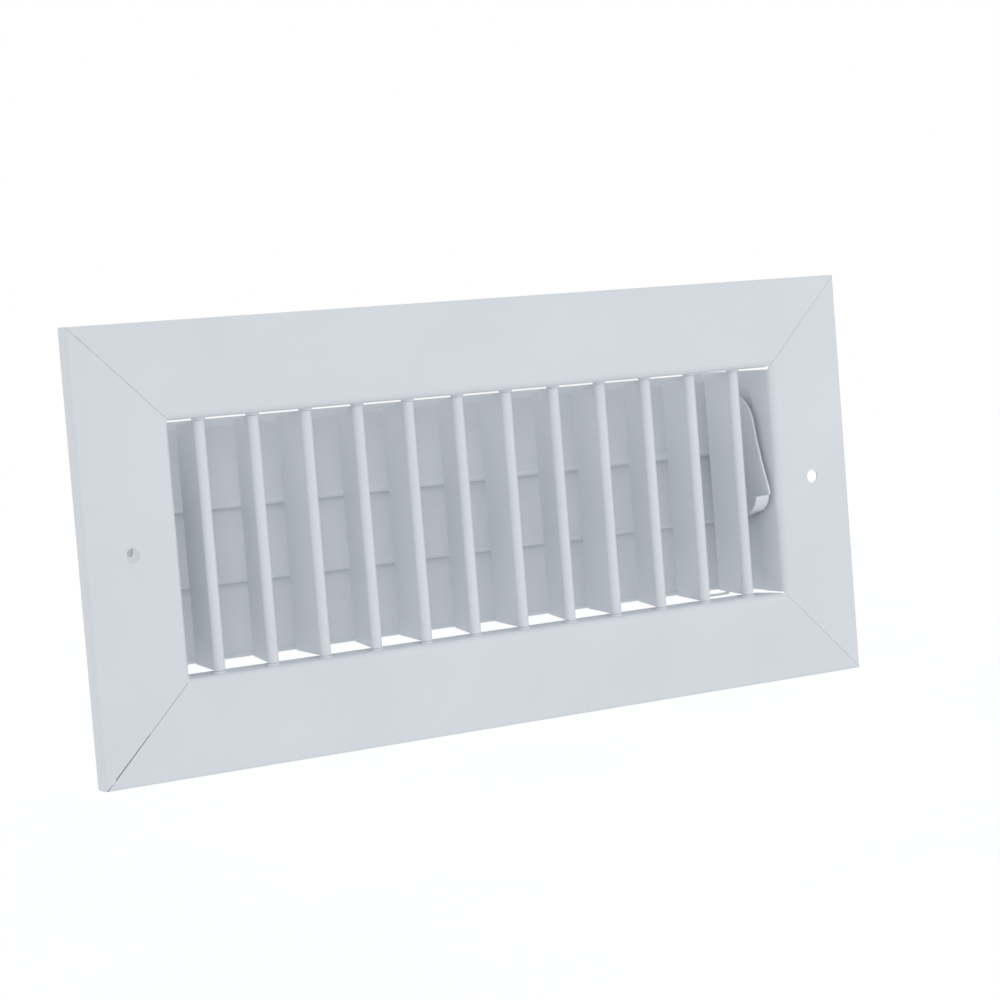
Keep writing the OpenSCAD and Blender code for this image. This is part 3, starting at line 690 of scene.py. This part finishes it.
def pin_row(name, part, side):
    """Twelve headed pins: a shank with a chamfered point and a low domed head, spun."""
    point = HALF_H - FLANGE_T - END_PLAY - PIN_GRIP
    head = HALF_H + SHEET + BUSH_OUT
    profile = np.concatenate([[(0, point), (PIN_R - POINT_IN, point), (PIN_R, point + POINT_H),
                               (PIN_R, head), (PIN_HEAD_R, head)],
                              dome(PIN_HEAD_R, head + HEAD_RIM, PIN_HEAD_T - HEAD_RIM)])
    shape = Shape()
    for x in BLADE_X:
        turned_shape(shape, profile * (1, side), "z", (x, PIVOT_Y, 0), steps=PIN_STEPS)
    shape.piece(name, ZINC, "frame", part)


# ---------- corner keys ----------


def rounded_loop(corners, radii, steps=6):
    """A closed outline through the corners with each one rounded to its radius."""
    corners = np.asarray(corners, float)
    middle = (corners[0] + corners[-1]) / 2
    points = bent_path(np.concatenate([[middle], corners, [middle]]), radii, steps)[0][:-1]
    return points[np.linalg.norm(points - np.roll(points, 1, 0), axis=1) > SAME_SPOT]


def corner_keys():
    """Four flat L-shaped keys, one behind each mitre: an outline with rounded corners
    given its thickness back from the sheet."""
    x1, z1 = FACE_W / 2 - KEY_INSET, FACE_H / 2 - KEY_INSET
    x2, z2 = x1 - KEY_W, z1 - KEY_W
    corners = [(x1, z1), (x1 - KEY_LEG, z1), (x1 - KEY_LEG, z2), (x2, z2), (x2, z1 - KEY_LEG),
               (x1, z1 - KEY_LEG)]
    outline = rounded_loop(corners, KEY_RADII)
    key = Shape()
    fill_flat(key, outline, [], SHEET, SHEET + KEY_T, lambda uv: uv, rim=True)
    shape = Shape()
    for sx in (-1, 1):
        for sz in (-1, 1):
            shape.add(key.all_points()[:, [1, 0, 2]] * (sx, 1, sz), key.faces)
    shape.piece("corner_key_plates", ZINC, "frame", "corner_keys", bevel=KEY_EDGE)


# ---------- damper ----------


def end_plate(name, part, side):
    """A pressed side plate with rounded rear corners, its rear rim turned in as a flange
    that fades out towards the corners, and a narrow foot bent in under the shutters."""
    top, bottom = HALF_H - SIDE_DROP, SIDE_LIFT - HALF_H
    r, half = END_CORNER_R, END_T / 2
    outline = rounded_loop([(END_FRONT, bottom), (END_REAR, bottom), (END_REAR, top),
                            (END_FRONT, top)], (END_FRONT_R, r, r, END_FRONT_R), steps=12)
    straight = np.linspace(bottom + r, top - r, REAR_POINTS)[1:-1]
    rear = np.stack([np.full(len(straight), END_REAR), straight], -1)
    at = int(np.argmax(outline[:, 0] > END_REAR - NEARLY))
    outline = np.concatenate([outline[:at + 1], rear, outline[at + 1:]])
    way = np.roll(outline, -1, 0) - np.roll(outline, 1, 0)
    normals = np.stack([way[:, 1], -way[:, 0]], -1) / np.linalg.norm(way, axis=1)[:, None]
    inside = np.minimum(top - outline[:, 1], outline[:, 1] - bottom)
    fade = np.clip((inside - r) / FLANGE_FADE, 0, 1)
    turn = np.where((outline[:, 0] > END_REAR - NEARLY) & (fade > 0),
                    LEAST_TURN + (END_FLANGE - LEAST_TURN) * fade, 0)
    holes = [((SHUTTER_Y, z), RIVET_R) for z in SHUTTER_Z]
    if side > 0:
        holes.append(((LEVER_Y, LEVER_Z), RIVET_R))
    shape = Shape()
    turned_plate(shape, outline, normals, turn, holes, END_X + END_T, -1, END_T,
                 lambda uv: uv, END_BEND)
    foot = [(END_X + half, bottom + FOOT_OVERLAP), (END_X + half, FOOT_Z + half),
            (END_X + END_T - FOOT_L, FOOT_Z + half)]
    path, side_way = bent_path(foot, [FOOT_BEND])
    swept_sheet(shape, path, side_way, END_T - FOOT_THINNER, [SHUTTER_Y - FOOT_W, SHUTTER_Y],
                lambda u, v, w: np.stack([u, w, v], -1))
    points = shape.all_points() * (side, 1, 1)
    new_piece(name, points, shape.faces, POWDER, "frame", part, bevel=SHEET_EDGE)


def leaned(z):
    """Places a shutter's own depth and height, with its pivot at height z."""
    def place(uv):
        return np.stack([SHUTTER_Y + uv[..., 0] * math.cos(LEAN) + uv[..., 1] * math.sin(LEAN),
                         z - uv[..., 0] * math.sin(LEAN) + uv[..., 1] * math.cos(LEAN)], -1)
    return place


def shutter_path():
    """Middle line of a shutter's sheet from its creased upper strip down to the hem, which
    leaves the sheet's plane forward and rolls right round."""
    y, bottom = -SHUTTER_SET - SHUTTER_T / 2, -SHUTTER_W / 2
    crease = SHUTTER_W / 2 - CREASE_W
    roll, slant = HEM_R - SHUTTER_T / 2, math.radians(180 - HEM_START)
    centre = (y, bottom + HEM_R)
    ring = arc(centre, roll, HEM_START, HEM_END, 20)
    away = roll * math.cos(slant) / math.sin(slant)
    kink = ring[0] + away * np.array([math.sin(slant), math.cos(slant)])
    corners = [(y + CREASE_W * math.sin(CREASE_ANGLE), crease + CREASE_W * math.cos(CREASE_ANGLE)),
               (y, crease), kink, ring[0]]
    path, normals = bent_path(corners, (CREASE_R, KINK_R), steps=8)
    inward = (np.asarray(centre) - ring) / roll
    return np.concatenate([path[:-1], ring]), np.concatenate([normals[:-1], inward])


def shutter(name, z):
    """A rolled sheet blade: its bent section carried along x between two flat ears, the
    right-hand one with a crank."""
    place = leaned(z)
    path, normals = shutter_path()
    shape = Shape()
    stations = np.linspace(-EAR_LEFT_X, EAR_RIGHT_X, SHUTTER_ROWS)
    swept_sheet(shape, path, normals, SHUTTER_T, stations,
                lambda u, v, w: np.concatenate([w[..., None], place(np.stack([u, v], -1))], -1))
    crank = np.array([math.cos(CRANK_ANGLE + LEAN), math.sin(CRANK_ANGLE + LEAN)]) * CRANK
    low_corner, high_corner = [((EAR_CORNER_R - SHUTTER_SET, end * (EAR_H / 2 - EAR_CORNER_R)),
                                EAR_CORNER_R) for end in (-1, 1)]
    plain = hull_of_circles([low_corner, ((0, 0), EYE_R), high_corner])
    cranked = hull_of_circles([low_corner, (crank, EYE_R), high_corner])
    bore, eye = ((0, 0), RIVET_R + RUNNING_FIT), (crank, CRANK_PIN_R + CRANK_FIT)
    for x, ear, holes in ((-EAR_LEFT_X, plain, [bore]),
                          (EAR_RIGHT_X - EAR_T, cranked, [bore, eye])):
        turned_plate(shape, *ear, np.zeros(len(ear[0])), holes, x, 1, EAR_T, place)
    shape.piece(name + "_sheet", POWDER, name, name)


def rivet(shape, x_in, x_out, y, z, side):
    """A tubular rivet along x: a domed head outside x_out and an upset end inside x_in."""
    upset = dome(UPSET_R, 0, UPSET_RISE)[::-1] * (1, -1) + (0, x_in - RIVET_HEAD_T + UPSET_RISE)
    head = dome(RIVET_HEAD_R, x_out + HEAD_RIM, RIVET_HEAD_T - HEAD_RIM)
    profile = np.concatenate([upset, [(UPSET_R, x_in), (RIVET_R, x_in), (RIVET_R, x_out),
                                      (RIVET_HEAD_R, x_out)], head])
    turned_shape(shape, profile * (1, side), "x", (0, y, z))


def spacer(shape, x0, x1, radius, y, z):
    """A plain nylon ring with softened edges between x0 and x1."""
    profile = ring_profile(RIVET_R + RUNNING_FIT, radius, x0, x1, SPACER_EDGE)
    turned_shape(shape, profile, "x", (0, y, z))


def damper_rivets():
    """The shutters' six rivets and spacers, and the lever's own."""
    rivets, spacers, lever_rivet, lever_spacer = Shape(), Shape(), Shape(), Shape()
    right_in, left_in = EAR_RIGHT_X - EAR_T - SIDE_GAP, EAR_LEFT_X - EAR_T - SIDE_GAP
    for z in SHUTTER_Z:
        rivet(rivets, right_in, END_X + END_T, SHUTTER_Y, z, 1)
        rivet(rivets, left_in, END_X + END_T, SHUTTER_Y, z, -1)
        spacer(spacers, EAR_RIGHT_X + SIDE_GAP, END_X, SPACER_R, SHUTTER_Y, z)
        spacer(spacers, -END_X, -EAR_LEFT_X - SIDE_GAP, SPACER_R, SHUTTER_Y, z)
    rivet(lever_rivet, LEVER_OUT - LEVER_T - SIDE_GAP, END_X + END_T, LEVER_Y, LEVER_Z, 1)
    spacer(lever_spacer, LEVER_OUT + SIDE_GAP, END_X, LEVER_SPACER_R, LEVER_Y, LEVER_Z)
    rivets.piece("shutter_rivet_set", ZINC, "frame", "shutter_rivets")
    spacers.piece("shutter_spacer_set", NYLON, "frame", "shutter_spacers")
    lever_rivet.piece("lever_rivet_turned", ZINC, "frame", "lever_rivet")
    lever_spacer.piece("lever_spacer_ring", NYLON, "frame", "lever_spacer")


# ---------- linkage and lever ----------


def link():
    """A flat blanked bar: a straight back with an eye at each crank, and a cranked arm
    forward to the lever. The outline's corners are rounded, the eyes most."""
    y, w, r = SHUTTER_Y + CRANK_Y, LINK_HALF, EYE_R
    top, middle, bottom = eyes = SHUTTER_Z + CRANK_Z
    arm = (top + middle) / 2
    tip = np.array([LEVER_Y + CRANK_Y, LEVER_Z + CRANK_Z])
    elbow = np.array([low("link_bar")[1] + EYE_R + ELBOW_BACK, arm])
    way = (tip - elbow) / np.linalg.norm(tip - elbow)
    across = np.array([-way[1], way[0]])
    corners = [(y + r, bottom - r), (y + r, top + r), (y - r, top + r),
               (y - r, top - EYE_FLAT), (y - w, top - EYE_SLOPE), (y - w, arm + w),
               elbow + (ELBOW_SPREAD, w), tip - across * w - way * ARM_EYE,
               tip - across * r + way * r, tip + across * r + way * r,
               tip + across * w - way * ARM_EYE, elbow + (-ELBOW_SPREAD, -w),
               (y - w, arm - w), (y - w, middle + EYE_SLOPE), (y - r, middle + EYE_FLAT),
               (y - r, middle - EYE_FLAT), (y - w, middle - EYE_SLOPE),
               (y - w, bottom + EYE_SLOPE), (y - r, bottom + EYE_FLAT), (y - r, bottom - r)]
    soft, elbow_r, full, corner_r = 0.8, 2, r - 0.05, r - 0.01
    radii = ([corner_r] * 3 + [soft, soft, elbow_r, elbow_r, soft, full, full, soft]
             + [elbow_r] * 2 + [soft] * 6 + [full])
    outline = rounded_loop(corners, radii, steps=8)
    holes = [((y, z), CRANK_PIN_R) for z in eyes] + [(tuple(tip), CRANK_PIN_R + RUNNING_FIT)]
    shape = Shape()
    fill_flat(shape, outline, holes, LINK_X, LINK_OUT, lambda uv: uv, rim=True)
    shape.piece("link_bar_blank", ZINC, "link", "link_bar", bevel=LINK_EDGE)


def pins_of_link():
    """Three shouldered pins pressed into the link, and the lever's own with its head:
    stepped profiles spun about x."""
    eye_in = EAR_RIGHT_X - EAR_T - SIDE_GAP
    rise = CRANK_HEAD_T - HEAD_RIM
    head = dome(CRANK_HEAD_R, 0, rise)[::-1] * (1, -1) + (0, eye_in - HEAD_RIM)
    profile = np.concatenate([head, [(CRANK_HEAD_R, eye_in), (CRANK_PIN_R, eye_in),
                                     (CRANK_PIN_R, EAR_RIGHT_X + SIDE_GAP),
                                     (CRANK_HEAD_R, EAR_RIGHT_X + SIDE_GAP),
                                     (CRANK_HEAD_R, LINK_X), (CRANK_PIN_R, LINK_X),
                                     (CRANK_PIN_R, LINK_OUT), (0, LINK_OUT)]])
    shape = Shape()
    for z in SHUTTER_Z:
        turned_shape(shape, profile, "x", (0, SHUTTER_Y + CRANK_Y, z + CRANK_Z))
    shape.piece("crank_pin_set", ZINC, "link", "crank_pins")
    back = LINK_OUT + SIDE_GAP
    stud = np.concatenate([[(0, LEVER_OUT - LEVER_T), (CRANK_PIN_R, LEVER_OUT - LEVER_T),
                            (CRANK_PIN_R, back), (CRANK_HEAD_R, back)],
                           dome(CRANK_HEAD_R, back + HEAD_RIM, rise)])
    shape = Shape()
    turned_shape(shape, stud, "x", (0, LEVER_Y + CRANK_Y, LEVER_Z + CRANK_Z))
    shape.piece("lever_pin_stud", ZINC, "lever", "lever_pin")


def damper_lever():
    """A pressed lever: an outline round three discs with a hollow front edge, whose rim is
    turned in as a finger tab round the lower front corner."""
    outline, normals = hull_of_circles([((0, 0), LEVER_R), (LEVER_CORNER, LEVER_CORNER_R),
                                        (LEVER_HEEL, HEEL_R)], ROUND_STEPS)
    top, toe = ROUND_STEPS, 2 * ROUND_STEPS + 1
    run = outline[top + 1] - outline[top]
    share = np.linspace(0, 1, FRONT_POINTS)[1:-1, None]
    bow = 4 * share * (1 - share)
    front = outline[top] + share * run - normals[top] * LEVER_HOLLOW * bow
    length = np.linalg.norm(run)
    slope = 4 * LEVER_HOLLOW * (1 - 2 * share) / length
    front_normals = normals[top] + slope * (run / length)
    front_normals /= np.linalg.norm(front_normals, axis=1)[:, None]
    share = np.linspace(0, 1, LOWER_POINTS)[1:-1, None]
    lower = outline[toe] + share * (outline[toe + 1] - outline[toe])
    lower_normals = np.repeat(normals[toe:toe + 1], len(lower), 0)
    outline = np.concatenate([outline[:top + 1], front, outline[top + 1:toe + 1], lower,
                              outline[toe + 1:]])
    normals = np.concatenate([normals[:top + 1], front_normals, normals[top + 1:toe + 1],
                              lower_normals, normals[toe + 1:]])
    behind = outline[:, 0] - (LEVER_CORNER[0] - LEVER_CORNER_R)
    taper = 1 - np.clip((behind - TAB_FLAT) / (LEVER_CORNER_R + TAB_BACK - TAB_FLAT), 0, 1)
    tab_top = LEVER_CORNER[1] - TAB_START
    rise = np.clip((tab_top - outline[:, 1]) / TAB_RISE + 1, 0, 1)
    on_tab = (outline[:, 1] < tab_top + TAB_OVERLAP) & (taper > TAB_LEAST)
    turn = np.where(on_tab, LEAST_TURN + (TAB_W - LEAST_TURN) * np.minimum(taper, rise), 0)
    holes = [((0, 0), RIVET_R + RUNNING_FIT), ((CRANK_Y, CRANK_Z), CRANK_PIN_R)]
    shape = Shape()
    turned_plate(shape, outline, normals, turn, holes, LEVER_OUT, -1, LEVER_T,
                 lambda uv: uv + (LEVER_Y, LEVER_Z), TAB_BEND)
    shape.piece("damper_lever_pressing", POWDER, "lever", "damper_lever")


# ---------- the whole register ----------

long_bar("frame_top_bar", "frame_top", 1)
long_bar("frame_bottom_bar", "frame_bottom", -1)
side_bar("frame_left_bar", "frame_left", -1)
side_bar("frame_right_bar", "frame_right", 1)
corner_keys()
for blade_name, pivot_x, set_angle in zip(BLADES, BLADE_X, BLADE_SET):
    blade(blade_name, pivot_x, set_angle)
bush_row("top_bush_row", "blade_bushes_top", 1)
bush_row("bottom_bush_row", "blade_bushes_bottom", -1)
pin_row("top_pin_row", "blade_pins_top", 1)
pin_row("bottom_pin_row", "blade_pins_bottom", -1)
end_plate("left_end_plate", "damper_end_left", -1)
end_plate("right_end_plate", "damper_end_right", 1)
for shutter_name, pivot_z in zip(SHUTTERS, SHUTTER_Z):
    shutter(shutter_name, pivot_z)
damper_rivets()
link()
pins_of_link()
damper_lever()


# ---------- camera, lights and floor ----------

# Places and sizes here are in metres, the lens is in millimetres and the turns in degrees
CAMERA_AT = (-0.42826, -0.74722, 0.05811)
LENS, FILM_W = 91.203, 36.0
TURN, TILT, CAMERA_LEAN = (math.radians(a) for a in (-29.863, 90 - 3.572, -4.487))
FLOOR_REACH, FLOOR_Z = 6.0, -0.30
ROOM_LIGHT, ROOM_TINT = 0.74, (0.96, 0.975, 1, 1)


def set_camera():
    """A 91.2 mm lens on a 36 mm back, 0.86 m from the face: 30 degrees round to the left,
    looking a little down, and leaning 4.5 degrees."""
    data = bpy.data.cameras.new("camera")
    data.lens, data.sensor_width = LENS, FILM_W
    data.clip_start, data.clip_end = 0.05, 50.0
    camera = bpy.data.objects.new("camera", data)
    bpy.context.scene.collection.objects.link(camera)
    camera.matrix_world = (Matrix.Translation(CAMERA_AT)
                           @ Matrix.Rotation(TURN, 4, "Z") @ Matrix.Rotation(TILT, 4, "X")
                           @ Matrix.Rotation(CAMERA_LEAN, 4, "Z"))
    bpy.context.scene.camera = camera


def soft_box(name, place, aim, size, power):
    """A square lamp that faces a point."""
    data = bpy.data.lights.new(name, "AREA")
    data.shape, data.size, data.energy = "SQUARE", size, power
    lamp = bpy.data.objects.new(name, data)
    bpy.context.scene.collection.objects.link(lamp)
    lamp.location = place
    lamp.rotation_euler = (Vector(aim) - Vector(place)).to_track_quat("-Z", "Y").to_euler()


def set_floor():
    """A wide level square below the register."""
    mesh = bpy.data.meshes.new("studio_floor")
    square = [(-1, -1), (1, -1), (1, 1), (-1, 1)]
    mesh.from_pydata([(x * FLOOR_REACH, y * FLOOR_REACH, FLOOR_Z) for x, y in square], [],
                     [(0, 1, 2, 3)])
    floor = bpy.data.objects.new("studio_floor", mesh)
    bpy.context.scene.collection.objects.link(floor)
    mesh.materials.append(studio_floor())


def set_room():
    """White surroundings: plain white where they are looked at, and a dimmer, slightly
    cool light on the object."""
    world = bpy.data.worlds.new("white_room")
    bpy.context.scene.world = world
    world.use_nodes = True
    tree = world.node_tree
    tree.nodes.clear()
    seen = looked_at(tree)
    level = node(tree, "MapRange", Value=seen, To_Min=ROOM_LIGHT, To_Max=1.0)
    tint = node(tree, "Mix", {"data_type": "RGBA"}, i0=seen, i6=ROOM_TINT, i7=WHITE)
    sky = node(tree, "Background", Color=tint.outputs[2], Strength=level.outputs["Result"])
    tree.links.new(sky.outputs[0], node(tree, "OutputWorld").inputs["Surface"])
    bpy.context.scene.view_settings.view_transform = "Standard"


set_camera()
set_floor()
soft_box("near_right_lamp", place=(0.50, -0.55, 0.12), aim=(0.06, 0, 0), size=0.4, power=0.3)
soft_box("camera_side_lamp", place=(-0.50, -0.95, 0.40), aim=(0, 0, 0), size=0.5, power=0.9)
set_room()
